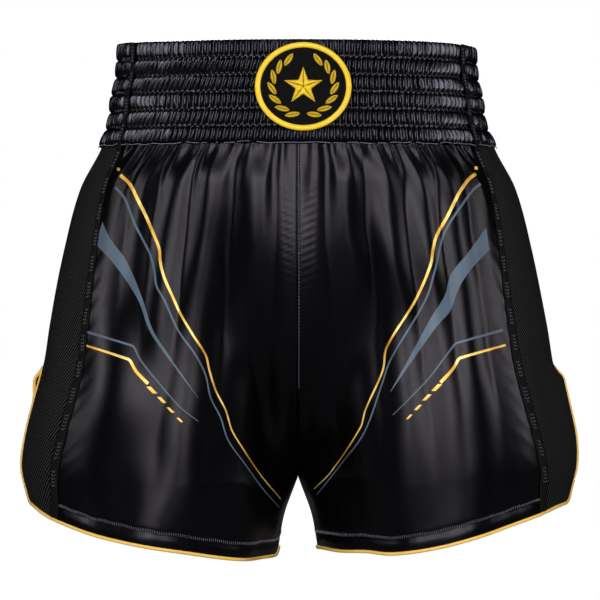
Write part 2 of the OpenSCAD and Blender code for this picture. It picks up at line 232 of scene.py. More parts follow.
LAST_REACH = 24.0
CREST_STRAYS = (Wave(2.2, 150, 211), Wave(0.7, 60, 221))
CREST_SWELL = Wave(0.3, 130, 231)

# Gathers under the waist seam: height, pitch, length and seed of the wide and the narrow ones
GATHERS = ((2.4, 12.0, 19.0, 103), (1.1, 5.5, 9.0, 203))

# Smaller waves of the cloth, and how each is placed, in mm
LOOSE = Wave(3.6, 70, 14)
LOOSE_FROM, LOOSE_GROWTH = 150, 170
CALM_SIDE, CALM_WIDTH = 0.7, 45
CRUMPLE = Wave(0.5, 36, 24)
CRUMPLE_DRIFT = Wave(5, 120, 44)
CREASE_HEIGHT, CREASE_PITCH, CREASE_REACH, CREASE_SLANT = 0.36, 17, 7, 1.3
CREASE_DRIFT = Wave(2, 60, 34)
FRONT_TUCK, BACK_TUCK, TUCK_WIDTH, TUCK_FROM = 9.0, 6.0, 30, 170
PUCKER_HEIGHT, PUCKER_PITCH, PUCKER_PLACE, PUCKER_WIDTH = 0.4, 5.8, 7, 4.5
HEM_ROLL, HEM_ROLL_PLACE, HEM_ROLL_WIDTH = 0.45, 5.5, 4
HEM_GROOVE, HEM_SEAM, HEM_GROOVE_WIDTH = 0.5, 11.5, 2.0
HEM_PUCKERS = Wave(0.35, 9, 54)


def crest_height(crests, x, drop):
    """Rounded ridges along the crest lines, each blending softly into the next."""
    t = np.clip((drop - BAND) / (SIDE_LENGTH - BAND), 0, 1)
    places, heights = [], []
    for top, middle, low, height, fade in crests:
        bend = 2 * middle - (top + low) / 2
        places.append((1 - t)**2 * top + 2 * (1 - t) * t * bend + t * t * low)
        heights.append(height * (1 - below(drop, 0.4 * fade, 0.65 * fade)))
    total = 0
    for k, (place, height) in enumerate(zip(places, heights)):
        before = place - places[k - 1] if k else place + FIRST_REACH
        after = places[k + 1] - place if k + 1 < len(crests) else np.full_like(t, LAST_REACH)
        away = x - place
        reach = np.where(away < 0, before, after) * CREST_REACH
        u = np.clip(np.abs(away) / reach, 0, 1)
        total = total + (height * (1 - u**CREST_CURVE))**CREST_BLEND
    return total**(1 / CREST_BLEND)


def main_folds(side, s, drop, x):
    """The folds that hang from the waist seam; their lines stray and their height swells."""
    arc, run = HALF_GIRTH * np.minimum(s, 1 - s), HALF_GIRTH * s
    far, near = CREST_STRAYS
    strayed = x + waves(far, arc * 0.4, drop, side) + waves(near, arc, drop, side)
    crests = np.where(s < 0.5, crest_height(CRESTS[side], strayed, drop),
                      crest_height(BACK_CRESTS, strayed, drop))
    crests = crests * (0.85 + waves(CREST_SWELL, run, drop, side))
    return crests * (0.3 + 0.7 * below(drop, BAND, 30))


def gathers(arc, drop, pitch, length, seed):
    """Short gathers hanging from the waist seam, each of its own width and length."""
    spread = along(HALF_WIDTHS, drop) / HALF_WIDTHS[4, 1]
    at_seam = arc / spread
    phase = at_seam / pitch + 0.55 * ripple(at_seam, drop * 0.05, pitch * 3.5, seed)
    ridge = 1 - np.abs(np.sin(np.pi * phase))**1.3
    own_length = length * (1 + 0.55 * ripple(at_seam, drop * 0, pitch * 1.8, seed + 1))
    return ridge * np.exp(-np.maximum(0, drop - BAND) / own_length)


def loose_waves(side, s, drop):
    """Wide waves of the free lower half, calmer at the side."""
    calm = 1 - CALM_SIDE * bell((s - 0.5) * HALF_GIRTH, CALM_WIDTH)
    return below(drop, LOOSE_FROM, LOOSE_GROWTH) * calm * waves(LOOSE, s * HALF_GIRTH, drop * 0.4, side)


def crumple(side, s, drop):
    """Long shallow unevenness of the satin."""
    run = s * HALF_GIRTH
    return waves(CRUMPLE, run + waves(CRUMPLE_DRIFT, run, drop, side), drop * 0.16, side)


def tape_creases(side, s, drop, from_tape):
    """Short slanting creases along the tape, where its seam draws the cloth up."""
    near = np.exp(-np.abs(from_tape) / CREASE_REACH) * below(drop, 120, 60)
    drift = waves(CREASE_DRIFT, drop, s * HALF_GIRTH, side)
    phase = 2 * np.pi * (drop + CREASE_SLANT * from_tape) / CREASE_PITCH
    return CREASE_HEIGHT * near * np.cos(phase + drift)


def crotch_tuck(s, drop, x):
    """How far the cloth falls back at the centre, towards the crotch."""
    depth = np.where(s < 0.5, FRONT_TUCK, BACK_TUCK)
    return depth * below(drop, TUCK_FROM, 170) * bell(x, TUCK_WIDTH) * (1 - below(drop, RISE - 25, 45))


def seam_puckers(arc, drop):
    """Small regular puckers beside the centre seam."""
    near = bell(arc - PUCKER_PLACE, PUCKER_WIDTH) * below(drop, 100, 20) * (1 - below(drop, 210, 60))
    return PUCKER_HEIGHT * near * np.cos(2 * np.pi * (drop + 0.6 * arc) / PUCKER_PITCH)


def hem_shape(side, s, drop):
    """The turned-up hem: a soft roll, the groove of its stitching and puckers along it."""
    above_hem = hem_drop(s) - drop
    roll = HEM_ROLL * bell(above_hem - HEM_ROLL_PLACE, HEM_ROLL_WIDTH)
    groove = HEM_GROOVE * bell(above_hem - HEM_SEAM, HEM_GROOVE_WIDTH)
    near = np.exp(-np.abs(above_hem - HEM_SEAM - 0.5) / 6)
    puckers = near * waves(HEM_PUCKERS, s * HALF_GIRTH * 2.2, drop * 0.3, side)
    return (roll - groove + puckers) * smooth(np.abs(s - 0.5) * HALF_GIRTH / 14)


def slit_flare(side, s, drop):
    """One edge of each slit stands outside the other: the left's front, the right's back edge."""
    near = bell((s - 0.5) * LEG_GIRTH, 30) * below(drop, SLIT_TOP, 12)
    if side > 0:
        flare = 1.2 + 4.6 * (1 - below(drop, 305, 45))
        return np.where(s < 0.5, flare, 0.0) * near
    return np.where(s < 0.5, 0.0, 4.0 * bell(drop - SLIT_TOP - 12, 11)) * near


def fold_height(side, s, drop, x):
    """How far the cloth stands out from the skin, in mm."""
    around = np.minimum(s, 1 - s)
    arc = around * HALF_GIRTH
    from_tape = (tape_s(drop) - around) * HALF_GIRTH
    on_satin, off_centre = smooth(from_tape / 14), smooth(arc / 12)
    hanging = main_folds(side, s, drop, x)
    for height, pitch, length, seed in GATHERS:
        hanging = hanging + height * gathers(s * HALF_GIRTH, drop, pitch, length, seed + side)
    inner = smooth(from_tape / 60) * below(drop, BAND, 40)
    swaying = loose_waves(side, s, drop) + inner * crumple(side, s, drop)
    return (off_centre * (hanging * on_satin + swaying)
            + tape_creases(side, s, drop, from_tape) - crotch_tuck(s, drop, x) + seam_puckers(arc, drop)
            + hem_shape(side, s, drop) * on_satin + slit_flare(side, s, drop))


# How much lower than its pattern the hem hangs: distance from the centre and extra drop, in mm
SAGS = {
    -1: np.array([(0, 0), (60, 1.2), (100, 1.6), (130, 4), (160, 6), (195, 5.5), (225, 1), (250, 0)]),
    1: np.array([(0, 0), (16, -5.5), (50, -5), (70, -4), (90, 0), (120, 2.4), (150, 2), (200, 0),
                 (250, 0)]),
}
SAG_FROM, SAG_GROWTH = 280, 100


def folded(side):
    """The surface of one half with its folds, as a function of s and drop."""
    def surface(s, drop):
        base = skin(s, drop)
        height = fold_height(side, s, drop, np.abs(base[..., 0]))
        from_centre = np.minimum(np.abs(s), np.abs(1 - s)) * HALF_GIRTH
        base[..., 2] -= along(SAGS[side], from_centre) * below(drop, SAG_FROM, SAG_GROWTH)
        direction = facing(skin, s, drop)
        direction[..., 0] *= smooth(from_centre / 30)
        return base + direction * height[..., None]
    return surface


FOLDED = {side: folded(side) for side in SIDE_NAMES}


def cloth(side, s, drop, lift=0.0):
    """A point on the folded cloth of the wearer's right (-1) or left (1) half, in mm."""
    s, drop = np.broadcast_arrays(np.asarray(s, float), np.asarray(drop, float))
    point = FOLDED[side](s, drop)
    if np.any(lift):
        point = point + facing(FOLDED[side], s, drop) * np.asarray(lift)[..., None]
    return point * np.array([side, 1, 1])


# ---------------------------------------------------------------- mesh helpers
def lay_flat(mesh, flat):
    """Store each point's place on the cut cloth, in mm, as the mesh's UV map."""
    layer = mesh.uv_layers.new(name="cut")
    corners = np.empty(len(mesh.loops), dtype=np.int32)
    mesh.loops.foreach_get("vertex_index", corners)
    layer.data.foreach_set("uv", (flat.reshape(-1, 2)[corners] * MM).ravel())


def new_object(name, mesh, material):
    """A smooth-shaded object that rides the shorts' one body."""
    for polygon in mesh.polygons:
        polygon.use_smooth = True
    mesh.materials.append(material)
    obj = bpy.data.objects.new(name, mesh)
    bpy.context.scene.collection.objects.link(obj)
    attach(obj, "root")
    return obj


def grid_object(name, points, flat, material, loop=False, flip=False):
    """A sheet from a grid of points in mm. flat gives each point's place on the cut cloth in mm."""
    rows, cols = points.shape[:2]
    index = np.arange(rows * cols).reshape(rows, cols)
    if loop:
        index = np.concatenate([index, index[:, :1]], axis=1)
    quads = np.stack([index[:-1, :-1], index[:-1, 1:], index[1:, 1:], index[1:, :-1]], axis=-1)
    quads = quads.reshape(-1, 4)
    if flip:
        quads = quads[:, ::-1]
    mesh = bpy.data.meshes.new(name)
    mesh.from_pydata((points.reshape(-1, 3) * MM).tolist(), [], quads.tolist())
    lay_flat(mesh, flat)
    return new_object(name, mesh, material)


def thicken(obj, thickness, offset=-1.0):
    """Give a sheet its thickness in mm: behind it at offset -1, in front of it at 1."""
    modifier = obj.modifiers.new("thickness", "SOLIDIFY")
    modifier.thickness = thickness * MM
    modifier.offset = offset
    modifier.use_even_offset = False


def tube_object(name, path, radii, material, sides=12):
    """A round bead with closed ends along a path of points in mm, with a radius at each point."""
    run = unit(np.gradient(path, axis=0))
    up = unit(np.cross(run, np.array([0.3, 0.2, 1.0])))
    over = np.cross(run, up)
    angle = np.arange(sides) / sides * 2 * np.pi
    ring = np.cos(angle)[None, :, None] * up[:, None] + np.sin(angle)[None, :, None] * over[:, None]
    points = path[:, None] + ring * radii[:, None, None]
    index = np.arange(len(path) * sides).reshape(len(path), sides)
    wrap = np.concatenate([index, index[:, :1]], axis=1)
    quads = np.stack([wrap[:-1, :-1], wrap[1:, :-1], wrap[1:, 1:], wrap[:-1, 1:]], axis=-1)
    faces = quads.reshape(-1, 4).tolist() + [index[0].tolist(), index[-1][::-1].tolist()]
    mesh = bpy.data.meshes.new(name)
    mesh.from_pydata((points.reshape(-1, 3) * MM).tolist(), [], faces)
    run_down = lengths_along(path)[:, None]
    lay_flat(mesh, np.stack(np.broadcast_arrays(angle * radii[:, None], run_down), -1))
    return new_object(name, mesh, material)


def stitch_object(name, starts, ends, radius, material, slot_name, bow=None):
    """Many short threads, each a small capsule from start to end; bow lifts their middles."""
    starts, ends = np.asarray(starts), np.asarray(ends)
    sides, rings = 5, 5
    t = np.linspace(0, 1, rings)
    swell = np.sin(np.pi * (0.08 + 0.84 * t))**0.6 * radius
    run = unit(ends - starts)
    up = unit(np.cross(run, np.array([0.31, 0.17, 0.93])))
    over = np.cross(run, up)
    path = starts[:, None] + (ends - starts)[:, None] * t[None, :, None]
    if bow is not None:
        path = path + bow[:, None] * np.sin(np.pi * t)[None, :, None]
    angle = np.arange(sides) / sides * 2 * np.pi
    ring = (np.cos(angle)[None, None, :, None] * up[:, None, None]
            + np.sin(angle)[None, None, :, None] * over[:, None, None])
    points = path[:, :, None] + ring * swell[None, :, None, None]
    count = len(starts)
    index = np.arange(count * rings * sides).reshape(count, rings, sides)
    wrap = np.concatenate([index, index[:, :, :1]], axis=2)
    quads = np.stack([wrap[:, :-1, :-1], wrap[:, 1:, :-1], wrap[:, 1:, 1:], wrap[:, :-1, 1:]], -1)
    faces = quads.reshape(-1, 4).tolist()
    faces += index[:, 0].tolist() + index[:, -1, ::-1].tolist()
    mesh = bpy.data.meshes.new(name)
    mesh.from_pydata((points.reshape(-1, 3) * MM).tolist(), [], faces)
    mesh.uv_layers.new(name="cut")
    return new_object(name, mesh, material)


# ---------------------------------------------------------------- materials
def material(name, base, rough, specular=0.5, tint=(1, 1, 1), metallic=0.0):
    """A new material, with its node tree and its shader."""
    mat = bpy.data.materials.new(name)
    mat.use_nodes = True
    shader = mat.node_tree.nodes["Principled BSDF"]
    values = {"Base Color": (*base, 1), "Roughness": rough, "Metallic": metallic,
              "Specular IOR Level": specular, "Specular Tint": (*tint, 1)}
    for key, value in values.items():
        shader.inputs[key].default_value = value
    return mat, mat.node_tree, shader


def node(tree, kind, **settings):
    """A new node with some of its settings."""
    made = tree.nodes.new(kind)
    for key, value in settings.items():
        setattr(made, key, value)
    return made


def set_inputs(made, **values):
    """Set a node's inputs; a word in the key stands for the input of that title."""
    for key, value in values.items():
        made.inputs[key.replace("_", " ").title()].default_value = value


def cut_coordinates(tree, scale=(1000, 1000, 1000), rotation=0.0):
    """The place on the cut cloth, in millimetres."""
    source = node(tree, "ShaderNodeUVMap", uv_map="cut")
    mapping = node(tree, "ShaderNodeMapping")
    set_inputs(mapping, scale=scale, rotation=(0, 0, rotation))
    tree.links.new(source.outputs["UV"], mapping.inputs["Vector"])
    return mapping.outputs["Vector"]


def wave(tree, vector, scale, distortion=0.0, direction="X"):
    """Parallel bands, from 0 to 1."""
    made = node(tree, "ShaderNodeTexWave", wave_type="BANDS", bands_direction=direction)
    set_inputs(made, scale=scale, distortion=distortion)
    tree.links.new(vector, made.inputs["Vector"])
    return made.outputs["Fac"]


def noise(tree, vector, scale, detail=3.0):
    """Cloudy noise, from 0 to 1."""
    made = node(tree, "ShaderNodeTexNoise")
    set_inputs(made, scale=scale, detail=detail)
    tree.links.new(vector, made.inputs["Vector"])
    return made.outputs["Fac"]


def math_node(tree, operation, a, b):
    """Two values, each a number or an output, joined by one operation."""
    made = node(tree, "ShaderNodeMath", operation=operation)
    for socket, value in zip(made.inputs, (a, b)):
        if isinstance(value, (int, float)):
            socket.default_value = value
        else:
            tree.links.new(value, socket)
    return made.outputs["Value"]


def colour_by(tree, shader, factor, stops):
    """Colour the material by a factor, through stops of (place, colour)."""
    made = node(tree, "ShaderNodeValToRGB")
    elements = made.color_ramp.elements
    while len(elements) < len(stops):
        elements.new(0.5)
    for element, (place, colour) in zip(elements, stops):
        element.position = place
        element.color = (*colour, 1)
    tree.links.new(factor, made.inputs["Fac"])
    tree.links.new(made.outputs["Color"], shader.inputs["Base Color"])


def bump(tree, shader, height, strength, distance):
    """Relief of the shading by a height; distance is in mm."""
    made = node(tree, "ShaderNodeBump")
    set_inputs(made, strength=strength, distance=distance * MM)
    tree.links.new(height, made.inputs["Height"])
    tree.links.new(made.outputs["Normal"], shader.inputs["Normal"])


def spread(tree, factor, low, high):
    """A factor from 0 to 1 spread from low to high."""
    made = node(tree, "ShaderNodeMapRange")
    set_inputs(made, to_min=low, to_max=high)
    tree.links.new(factor, made.inputs["Value"])
    return made.outputs["Result"]


def satin_weave(tree):
    """The fine warp floats of satin."""
    cut = cut_coordinates(tree)
    return math_node(tree, "MULTIPLY", wave(tree, cut, 1.3), wave(tree, cut, 0.9, 1.5, "Y"))


def satin_material(name, dark, light, rough):
    """Black polyester satin: fine warp floats, soft sheen, faint streaks along the warp."""
    mat, tree, shader = material(name, dark, rough, 0.15, (0.96, 0.89, 1.0))
    streaks = noise(tree, cut_coordinates(tree, (1400, 90, 1000)), 1.0, 2.0)
    colour_by(tree, shader, streaks, [(0.3, dark), (0.75, light)])
    bump(tree, shader, satin_weave(tree), 0.25, 0.05)
    tree.links.new(spread(tree, streaks, rough - 0.02, rough + 0.04), shader.inputs["Roughness"])
    return mat


def shirred_material():
    """The satin of the waistband: rougher between the pleats, glossier along their crests, and with
    painted shade darkening its colour between the pleats.
    """
    mat, tree, shader = material("waistband_satin", (0.002, 0.002, 0.0036), 0.26, 0.29, (0.84, 0.83, 1.0))
    crest_gloss_and_shade = node(tree, "ShaderNodeAttribute", attribute_name="crest_gloss_and_shade").outputs["Fac"]
    # Painted shade: the base colour goes near black down into the valleys between the pleats, by crest
    # height.
    colour_by(tree, shader, crest_gloss_and_shade, [(0.3, (0.0001, 0.0001, 0.0002)), (0.95, (0.0015, 0.0015, 0.003))])
    bump(tree, shader, satin_weave(tree), 0.1, 0.05)
    tree.links.new(spread(tree, crest_gloss_and_shade, 0.26, 0.2), shader.inputs["Roughness"])
    return mat


def mesh_material():
    """Matt sports mesh: diagonal ribs with small dark openings between them."""
    mat, tree, shader = material("mesh", (0.006, 0.006, 0.006), 0.62, 0.03)
    ribs = wave(tree, cut_coordinates(tree, rotation=0.6), 0.155, 0.6)
    cells = wave(tree, cut_coordinates(tree, rotation=2.2), 0.26, 0.4)
    cells = math_node(tree, "ADD", math_node(tree, "MULTIPLY", cells, 0.5), 0.5)
    pattern = math_node(tree, "MULTIPLY", ribs, cells)
    colour_by(tree, shader, pattern, [(0.25, (0.0001, 0.0001, 0.0001)), (0.85, (0.05, 0.05, 0.051))])
    bump(tree, shader, pattern, 0.8, 0.5)
    return mat


def tape_material():
    """Black woven tape with fine ribs both ways."""
    mat, tree, shader = material("tape", (0.004, 0.004, 0.004), 0.55, 0.1)
    cut = cut_coordinates(tree)
    ribs = math_node(tree, "MULTIPLY", wave(tree, cut, 0.8, 0.2, "Y"), wave(tree, cut, 1.1, 0.2))
    colour_by(tree, shader, ribs, [(0.2, (0.0025, 0.0025, 0.0025)), (0.9, (0.011, 0.011, 0.012))])
    bump(tree, shader, ribs, 0.6, 0.15)
    return mat


def thread_material(name, dark, light, rough, scale=1.0, specular=0.5):
    """Thread or bound cloth: fine lay lines with a light and a dark tone."""
    mat, tree, shader = material(name, light, rough, specular)
    cut = cut_coordinates(tree)
    lay = wave(tree, cut, 0.7 * scale, 0.8, "DIAGONAL")
    tone = math_node(tree, "MULTIPLY", noise(tree, cut, 0.05, 3.0), 0.7)
    mixed = math_node(tree, "ADD", math_node(tree, "MULTIPLY", lay, 0.4), tone)
    colour_by(tree, shader, mixed, [(0.3, dark), (0.8, light)])
    bump(tree, shader, lay, 0.4, 0.1)
    return mat


def twill_material():
    """Black twill with diagonal lines."""
    mat, tree, shader = material("patch_twill", (0.008, 0.008, 0.008), 0.5, 0.04)
    lines = wave(tree, cut_coordinates(tree, rotation=0.8), 0.45, 0.1)
    colour_by(tree, shader, lines, [(0.2, (0.0015, 0.0015, 0.0015)), (0.85, (0.006, 0.006, 0.006))])
    bump(tree, shader, lines, 0.6, 0.2)
    return mat


def print_material(name, stops, rough, metallic):
    """Ink on satin: colour bands drift along the print, and the satin's weave shows through."""
    mat, tree, shader = material(name, stops[0][1], rough, metallic=metallic)
    drift = noise(tree, cut_coordinates(tree, (40, 40, 1000)), 1.0, 1.0)
    colour_by(tree, shader, drift, stops)
    bump(tree, shader, wave(tree, cut_coordinates(tree), 1.3), 0.2, 0.05)
    return mat


SATIN = satin_material("satin", (0.001, 0.0009, 0.0012), (0.0019, 0.0017, 0.0023), 0.25)
BAND_SATIN = shirred_material()
MESH = mesh_material()
TAPE = tape_material()
GOLD_BINDING = thread_material("binding_gold", (0.95, 0.5, 0.06), (1.0, 0.68, 0.16), 0.42)
GOLD_THREAD = thread_material("patch_thread", (0.85, 0.5, 0.012), (1.0, 0.76, 0.035), 0.36, 0.6)
TWILL = twill_material()
GOLD_STOPS = [(0.3, (0.5, 0.22, 0.02)), (0.45, (0.82, 0.45, 0.05)),
              (0.58, (1.0, 0.75, 0.22)), (0.75, (0.6, 0.29, 0.03))]
SLATE_STOPS = [(0.3, (0.04, 0.068, 0.1)), (0.7, (0.09, 0.135, 0.2))]
PRINT_GOLD = print_material("print_gold", GOLD_STOPS, 0.4, 0.35)
PRINT_SLATE = print_material("print_slate", SLATE_STOPS, 0.5, 0.0)
THREAD = thread_material("thread", (0.14, 0.13, 0.2), (0.3, 0.28, 0.4), 0.5)
# Channel stitch thread: real stitching, coloured near black so that it also paints the shade line along
# each channel seam.
CHANNEL_THREAD_SHADE = thread_material("channel_thread_shade", (0.001, 0.001, 0.001), (0.004, 0.004, 0.005), 0.8,
                              specular=0.05)
TAPE_THREAD = thread_material("thread_tape", (0.05, 0.055, 0.065), (0.15, 0.165, 0.19), 0.6)
ELASTIC = thread_material("elastic", (0.55, 0.54, 0.5), (0.8, 0.79, 0.75), 0.7, 0.5)
LABEL = thread_material("label", (0.6, 0.59, 0.57), (0.82, 0.81, 0.79), 0.6, 0.8)

# ---------------------------------------------------------------- panels
CELL = 2.2
SATIN_THICK = 0.3


def panel_points(side, first, second, cols, rows, lift=0.0):
    """Points between two edges, each a function giving s at a drop, from the band to the hem."""
    u = np.linspace(0, 1, cols)[None, :]
    t = np.linspace(0, 1, rows)[:, None]
    low = np.array(SIDE_LENGTH)
    hem = hem_drop((1 - u) * first(low) + u * second(low))
    drop = BODY_TOP + (hem - BODY_TOP) * t
    s = (1 - u) * first(drop) + u * second(drop)
    points = cloth(side, s, drop, lift)
    flat = np.stack([s * HALF_GIRTH, drop], axis=-1)
    return points, flat


def centre_edge(drop):
    """s along the centre seam."""
    return np.zeros_like(np.asarray(drop, float))


def front_slit_edge(drop):
    """s along the front edge of the slit."""
    return 0.5 - slit_s(np.asarray(drop, float))


def mirrored(edge):
    """The same edge on the back."""
    return lambda drop: 1 - edge(drop)


# Front and back edges, width and length in mm for the grid, material and slot
PANELS = {
    "satin": (centre_edge, tape_s, 190.0, 326.0, SATIN, "satin"),
    "mesh": (tape_s, front_slit_edge, 72.0, 288.0, MESH, "mesh"),
}
CAD_PANELS = {"satin": "{face}_{side}_panel", "mesh": "{side}_{face}_mesh"}
panel_objects = {}
for kind, (first, second, width, length, mat, slot_name) in PANELS.items():
    for side, side_name in SIDE_NAMES.items():
        for face in ("front", "back"):
            edges = (first, second) if face == "front" else (mirrored(second), mirrored(first))
            cols, rows = int(width / CELL), int(length / CELL)
            points, flat = panel_points(side, *edges, cols, rows)
            panel = grid_object(f"{kind}_{face}_{side_name}", points, flat, mat, flip=side > 0)
            thicken(panel, SATIN_THICK)
            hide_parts(CAD_PANELS[kind].format(face=face, side=side_name))
            panel_objects[kind, face, side] = panel


# ---------------------------------------------------------------- waistband
PLEAT = 4.9
PLEAT_LEANS = (0.4, 5.0, 2.4, 1.0, 2.6, 1.6)
PLEAT_DEPTHS = (2.6, 3.3, 3.2, 3.2, 3.3, 3.2)
FULL_CREST = 3.2
CREST_ROUND = 0.1
PLEAT_SPREAD = 0.16
SIDE_TUCKS = {-1: 2.0, 1: 4.0}
CORNER_SAGS = {-1: -2.5, 1: 1.0}


def band_place(a, drop, lift):
    """A point on the waistband; a is 0 at the centre front, 0.5 at the wearer's left side."""
    a, drop, lift = np.broadcast_arrays(np.asarray(a, float), drop, lift)
    a = np.mod(a + 1, 2) - 1
    s = np.abs(a)
    sag = np.where(a < 0, CORNER_SAGS[-1], CORNER_SAGS[1]) * smooth(1 - np.abs(s - 0.5) / 0.3)
    lowered = drop + sag * np.clip(1 - drop / BAND, 0, 1)
    tuck = np.where(a < 0, SIDE_TUCKS[-1], SIDE_TUCKS[1]) * np.exp(-((s - 0.5) / 0.11)**2)
    tuck = tuck * (1 - 0.75 * smooth((drop - 60) / 20))
    point = skin(s, lowered) + facing(skin, s, lowered) * (lift - tuck)[..., None]
    point[..., 0] *= np.where(a < 0, -1, 1)
    return point


def pleats(channel, arc, v):
    """Height from 0 to 1 of the shirred pleats of one channel; v runs from 0 to 1 down it."""
    slant = PLEAT_LEANS[channel] * (0.7 + 0.5 * ripple(arc, arc * 0, 120, 41 + channel))
    slant = slant + 0.5 * ripple(arc, v * 5, 40, 51 + channel)
    crowding = PLEAT_SPREAD * BAND_ARC / (2 * np.pi) * np.sin(2 * np.pi * arc / BAND_ARC)
    along_band = arc + crowding + slant * (v - 0.5) + 0.8 * ripple(arc, v * 3, 22, 61 + channel)
    phase = np.mod(along_band / PLEAT, 1)
    fall = np.sqrt((2 * phase - 1)**2 + CREST_ROUND**2) - CREST_ROUND
    ridge = 1 - fall / (np.sqrt(1 + CREST_ROUND**2) - CREST_ROUND)
    body = 0.88 + 0.2 * ripple(arc * 1.5, v * 4, 17, 71 + channel)
    return ridge * np.clip(body, 0.5, 1.1)


def band_height(arc, drop):
    """How far the outer wall of the casing stands out, in mm."""
    place = np.clip(drop / CHANNEL, 0, CHANNELS - 1e-6)
    channel = np.floor(place).astype(int)
    v = place - channel
    envelope = np.sin(np.pi * np.clip(v, 0.0, 1.0))
    swell = 0.45 * envelope**0.5
    height = np.zeros_like(arc)
    for k, depth in enumerate(PLEAT_DEPTHS):
        pleated = depth * (0.15 + 0.85 * envelope**0.3) * pleats(k, arc, v)
        height = np.where(channel == k, pleated, height)
    s = np.abs(np.mod(arc / BAND_ARC + 1, 2) - 1)
    around = np.minimum(s, 1 - s)
    under_tape = np.exp(-((around - TAPE_PLACES[0]) * BAND_ARC / 5)**2)
    at_side = np.exp(-((around - 0.5) / 0.09)**2)
    return swell + height * (1 - 0.5 * under_tape) * (1 - 0.4 * at_side)


def casing_section(name, first, last, width):
    """A length of the casing: inner wall, fold over the top and shirred outer wall."""
    pitch = 0.46
    cols = int(width / pitch)
    a = np.linspace(first, last, cols)[None, :]
    wall = np.linspace(BAND, 2.0, 8)
    rows = [np.linspace(k, k + 1, 9)[:-1] for k in range(CHANNELS)]
    outer = np.concatenate(rows + [[CHANNELS]]) * CHANNEL
    outer[0] = 1.2
    turn = np.array([30, 75, 105, 150]) * np.pi / 180
    drop = np.concatenate([wall, 1.3 - 1.3 * np.sin(turn), outer])[:, None]
    arc = a * BAND_ARC
    lift_in = -CASING_FACE + 0.25 * np.cos(2 * np.pi * arc / PLEAT)
    lift_out = CASING_FACE + band_height(np.broadcast_to(arc, (len(outer), cols)), outer[:, None])
    edge = lift_out[0]
    lift_turn = lift_in + (edge - lift_in) * ((1 - np.cos(turn)) / 2)[:, None]
    lift = np.concatenate([np.broadcast_to(lift_in, (len(wall), cols)), lift_turn, lift_out])
    flat = np.stack(np.broadcast_arrays(arc, drop), axis=-1)
    section = grid_object(f"casing_{name}", band_place(a, drop, lift), flat, BAND_SATIN,
                          flip=True)
    # Crest height of the pleats, stored for the band satin's gloss and for its painted shade between the
    # pleats.
    crest_gloss_and_shade = np.zeros(flat.shape[:2])
    crest_gloss_and_shade[-len(outer):] = np.clip((lift_out - CASING_FACE) / FULL_CREST, 0, 1)
    section.data.attributes.new("crest_gloss_and_shade", "FLOAT", "POINT").data.foreach_set("value", crest_gloss_and_shade.ravel())
    thicken(section, 0.25)
    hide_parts(f"waistband_{name}")
    return section


# Ends of each section round the band, and its length in mm. The back one crosses the centre back.
TAPE_S = TAPE_PLACES[0]
CASING_SECTIONS = {
    "front": (-TAPE_S, TAPE_S, 285),
    "left": (TAPE_S, 1 - TAPE_S, 110),
    "right": (-1 + TAPE_S, -TAPE_S, 110),
    "back": (1 - TAPE_S, 1 + TAPE_S, 285),
}
casing_objects = {name: casing_section(name, *place) for name, place in CASING_SECTIONS.items()}


# ---------------------------------------------------------------- tapes
TAPE_HEM_S = 0.395
OVER_BAND, OVER_CLOTH = 4.3, 0.45
CHEVRONS, CHEVRON_PITCH, CHEVRON_HEIGHT, CHEVRON_GAP = 5, 2.6, 1.3, 7.5
CHEVRON_ARM, CHEVRON_TIP, CHEVRON_LIFT = 1.5, 0.15, 0.55


def tape_lift(drop):
    """How far the tape stands out: over the pleats of the band, then close on the cloth."""
    t = smooth((drop - BAND + 5) / 12)
    return (1 - t) * OVER_BAND + t * OVER_CLOTH


def tape_surface(side, s, drop, lift):
    """Over the waistband the tape follows the skin, below it the folded cloth."""
    s, drop = np.broadcast_arrays(s, drop)
    t = smooth((drop - BAND + 4) / 10)[..., None]
    return (1 - t) * band_place(side * s, drop, lift) + t * cloth(side, s, drop, lift)


def side_tape(side, face):
    """A woven tape over the seam between satin and mesh, from the top edge to the hem."""
    centre = tape_s if face == "front" else mirrored(tape_s)
    last = float(hem_drop(np.array(TAPE_HEM_S))) - 0.8
    drops = np.arange(0.6, last, 1.1)[:, None]
    across = np.linspace(-0.5, 0.5, 8)[None, :] * TAPE_WIDTH
    s = centre(drops) + across / HALF_GIRTH
    drop = np.broadcast_to(drops, s.shape)
    rough = 0.12 * ripple(drop * 2, drop * 0, 9, 81 + side)
    points = tape_surface(side, s, drop, tape_lift(drop) + rough)
    flat = np.stack(np.broadcast_arrays(across, drop), axis=-1)
    tape = grid_object(f"tape_{face}_{SIDE_NAMES[side]}", points, flat, TAPE, flip=side > 0)
    thicken(tape, 0.45, 1.0)
    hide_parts(f"{SIDE_NAMES[side]}_{face}_tape")
    tape_pattern(side, face, centre, last)


def tape_pattern(side, face, centre, last):
    """A generic woven pattern: groups of small chevrons pointing down the tape."""
    starts, ends = [], []
    group = CHEVRONS * CHEVRON_PITCH
    top = 4.0
    while top + group < last - 4:
        for k in range(CHEVRONS):
            tip = top + k * CHEVRON_PITCH
            where = np.array([tip, tip + CHEVRON_HEIGHT])
            for arm in (-1, 1):
                s = centre(where) + arm * np.array([CHEVRON_ARM, CHEVRON_TIP]) / HALF_GIRTH
                start, end = tape_surface(side, s, where, tape_lift(where) + CHEVRON_LIFT)
                starts.append(start)
                ends.append(end)
        top += group + CHEVRON_GAP
    stitch_object(f"tape_pattern_{face}_{SIDE_NAMES[side]}", starts, ends, 0.28, TAPE_THREAD, "thread")


for side in SIDE_NAMES:
    for face in ("front", "back"):
        side_tape(side, face)


